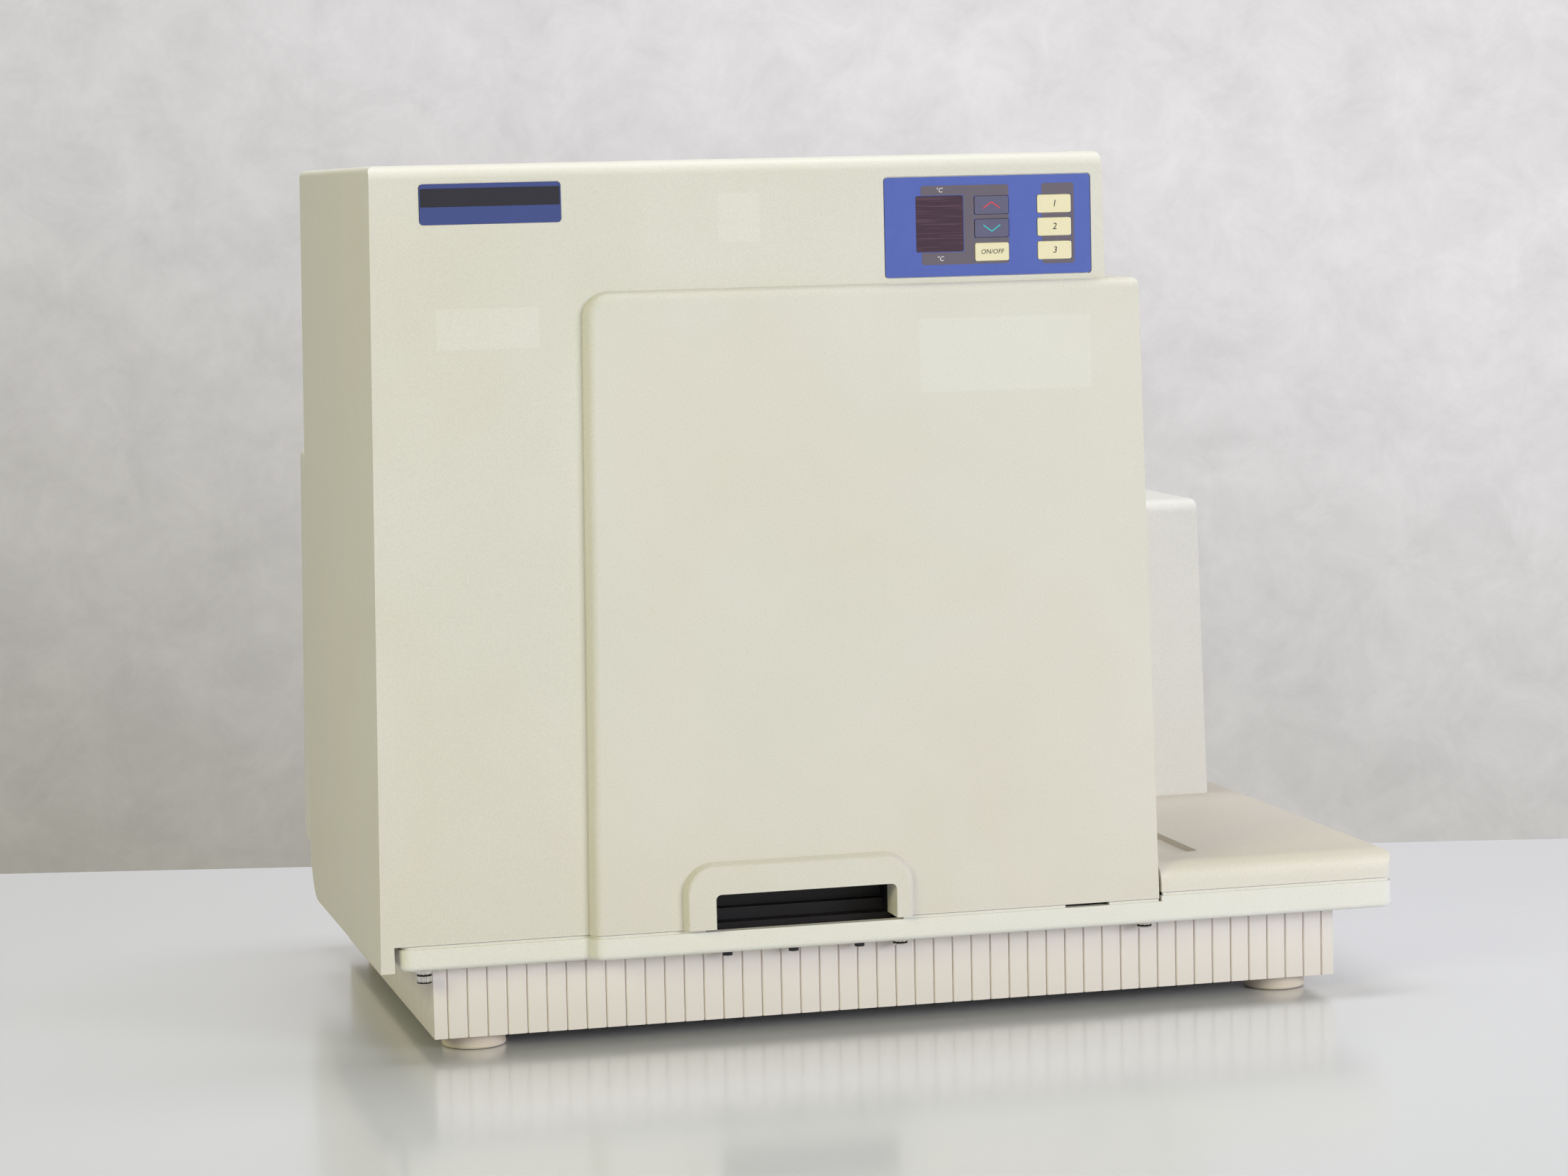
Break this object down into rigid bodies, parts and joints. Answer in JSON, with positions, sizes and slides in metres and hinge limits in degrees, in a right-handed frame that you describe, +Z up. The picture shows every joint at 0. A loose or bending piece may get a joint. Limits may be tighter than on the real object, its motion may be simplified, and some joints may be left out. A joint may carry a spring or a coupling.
{
  "type": "microplate reader",
  "caption": "Bench-top microplate reader with a tall stepped cover, side-loading plate drawers over a low deck, a membrane control panel and a fluted base.",
  "frame": {"origin": "middle of the footprint, on the bench under the feet", "axes": "+X to the deck and drawer side, +Y to the back, +Z up; the front faces -Y"},
  "size_m": [0.58, 0.376, 0.481],
  "materials": {
    "cover_plastic": "fine textured",
    "base_plastic": "fine textured",
    "foot_plastic": "smooth",
    "black_plastic": "matte",
    "painted_sheet": "powder coat",
    "plated_steel": "zinc plated",
    "panel_film": "satin film",
    "smoked_lens": "gloss",
    "circuit_board": "satin",
    "badge_film": "satin film",
    "milled_aluminium": "milled",
    "black_paint": "satin",
    "ground_steel": "ground",
    "black_anodised": "anodised",
    "key_cap": "satin",
    "bright_steel": "plated"
  },
  "bodies": {
    "case": {"base_tray": "base_plastic", "feet": "foot_plastic", "lower_housing": "cover_plastic", "tower_cover": "cover_plastic", "grip_liner": "black_plastic", "deck_cover": "cover_plastic", "rear_housing": "cover_plastic", "optics_cover": "cover_plastic", "rear_panel": "painted_sheet", "power_inlet": "black_plastic", "serial_ports": "plated_steel", "fan_frame": "black_plastic", "panel_overlay": "panel_film", "display_lens": "smoked_lens", "display_module": "black_plastic", "key_board": "circuit_board", "badge_plate": "badge_film", "lip_plugs": "black_plastic", "chassis_plate": "milled_aluminium", "cage_bridge": "milled_aluminium", "cage_left_plate": "milled_aluminium", "cage_right_plate": "milled_aluminium", "drawer_rails": "milled_aluminium", "stepper_motors": "black_paint", "pipettor_backplate": "milled_aluminium", "guide_rods": "ground_steel", "read_block": "black_anodised", "emission_monochromator": "black_anodised", "detector_tube": "black_anodised", "excitation_monochromator": "black_anodised", "lamp_housing": "milled_aluminium", "light_guides": "black_plastic", "power_supply": "plated_steel", "main_board": "circuit_board"},
    "drawer_bottom": {"drawer_tray_bottom": "black_anodised", "drawer_door_bottom": "cover_plastic"},
    "screw_bottom": {"drive_screw_bottom": "ground_steel"},
    "drawer_middle": {"drawer_tray_middle": "black_anodised", "drawer_door_middle": "cover_plastic"},
    "screw_middle": {"drive_screw_middle": "ground_steel"},
    "drawer_top": {"drawer_tray_top": "black_anodised", "drawer_door_top": "cover_plastic"},
    "screw_top": {"drive_screw_top": "ground_steel"},
    "head": {"head_carriage": "milled_aluminium", "pipettor_head": "milled_aluminium", "tip_barrels": "ground_steel", "plunger_actuator": "black_paint"},
    "plungers": {"plunger_bar": "ground_steel"},
    "lift_screw": {"lift_screw": "ground_steel"},
    "fan_rotor": {"fan_rotor": "black_plastic"},
    "mains_switch": {"rocker_switch": "black_plastic"},
    "key_warmer": {"key_warmer": "panel_film"},
    "key_cooler": {"key_cooler": "panel_film"},
    "key_heater": {"key_heater": "key_cap"},
    "key_drawer_top": {"key_drawer_top": "key_cap"},
    "key_drawer_middle": {"key_drawer_middle": "key_cap"},
    "key_drawer_bottom": {"key_drawer_bottom": "key_cap"},
    "fixing_left": {"captive_fixing_left": "bright_steel"},
    "fixing_middle": {"captive_fixing_middle": "bright_steel"},
    "fixing_right": {"captive_fixing_right": "bright_steel"}
  },
  "joints": [
    {"name": "drawer_bottom_slide", "type": "slide", "parent": "case", "child": "drawer_bottom", "axis": [1, 0, 0], "range_m": [0, 0.14]},
    {"name": "drawer_middle_slide", "type": "slide", "parent": "case", "child": "drawer_middle", "axis": [1, 0, 0], "range_m": [0, 0.14]},
    {"name": "drawer_top_slide", "type": "slide", "parent": "case", "child": "drawer_top", "axis": [1, 0, 0], "range_m": [0, 0.14]},
    {"name": "screw_bottom_turn", "type": "hinge", "parent": "case", "child": "screw_bottom", "pos_m": [-0.1, -0.033, 0.0926], "axis": [1, 0, 0], "range_deg": [-5, 2025]},
    {"name": "screw_middle_turn", "type": "hinge", "parent": "case", "child": "screw_middle", "pos_m": [-0.1, -0.033, 0.1646], "axis": [1, 0, 0], "range_deg": [-5, 2025]},
    {"name": "screw_top_turn", "type": "hinge", "parent": "case", "child": "screw_top", "pos_m": [-0.1, -0.033, 0.2406], "axis": [1, 0, 0], "range_deg": [-5, 2025]},
    {"name": "head_lift", "type": "slide", "parent": "case", "child": "head", "axis": [0, 0, 1], "range_m": [-0.036, 0]},
    {"name": "lift_screw_turn", "type": "hinge", "parent": "case", "child": "lift_screw", "pos_m": [0.0625, -0.036, 0.38], "axis": [0, 0, 1], "range_deg": [-525, 5]},
    {"name": "plunger_stroke", "type": "slide", "parent": "head", "child": "plungers", "axis": [0, 0, 1], "range_m": [-0.01, 0]},
    {"name": "fan_spin", "type": "hinge", "parent": "case", "child": "fan_rotor", "pos_m": [-0.18, 0.17, 0.24], "axis": [0, 1, 0], "continuous": true},
    {"name": "mains_switch_rock", "type": "hinge", "parent": "case", "child": "mains_switch", "pos_m": [0.084, 0.181, 0.154], "axis": [0, 0, 1], "range_deg": [0, 10]},
    {"name": "key_warmer_press", "type": "slide", "parent": "case", "child": "key_warmer", "axis": [0, 1, 0], "range_m": [0, 0.0006], "stiffness_N_per_m": 2000},
    {"name": "key_cooler_press", "type": "slide", "parent": "case", "child": "key_cooler", "axis": [0, 1, 0], "range_m": [0, 0.0006], "stiffness_N_per_m": 2000},
    {"name": "key_heater_press", "type": "slide", "parent": "case", "child": "key_heater", "axis": [0, 1, 0], "range_m": [0, 0.0006], "stiffness_N_per_m": 2000},
    {"name": "key_drawer_top_press", "type": "slide", "parent": "case", "child": "key_drawer_top", "axis": [0, 1, 0], "range_m": [0, 0.0006], "stiffness_N_per_m": 2000},
    {"name": "key_drawer_middle_press", "type": "slide", "parent": "case", "child": "key_drawer_middle", "axis": [0, 1, 0], "range_m": [0, 0.0006], "stiffness_N_per_m": 2000},
    {"name": "key_drawer_bottom_press", "type": "slide", "parent": "case", "child": "key_drawer_bottom", "axis": [0, 1, 0], "range_m": [0, 0.0006], "stiffness_N_per_m": 2000},
    {"name": "fixing_left_turn", "type": "hinge", "parent": "case", "child": "fixing_left", "pos_m": [-0.2654, -0.17, 0.045], "axis": [0, 0, 1], "range_deg": [-90, 0]},
    {"name": "fixing_middle_turn", "type": "hinge", "parent": "case", "child": "fixing_middle", "pos_m": [0.0017, -0.17, 0.045], "axis": [0, 0, 1], "range_deg": [-90, 0]},
    {"name": "fixing_right_turn", "type": "hinge", "parent": "case", "child": "fixing_right", "pos_m": [0.1448, -0.17, 0.045], "axis": [0, 0, 1], "range_deg": [-90, 0]}
  ],
  "couplings": [
    {"joint": "screw_bottom_turn", "follows": "drawer_bottom_slide", "rad_per_m": 251.33},
    {"joint": "screw_middle_turn", "follows": "drawer_middle_slide", "rad_per_m": 251.33},
    {"joint": "screw_top_turn", "follows": "drawer_top_slide", "rad_per_m": 251.33},
    {"joint": "lift_screw_turn", "follows": "head_lift", "rad_per_m": 251.33}
  ]
}
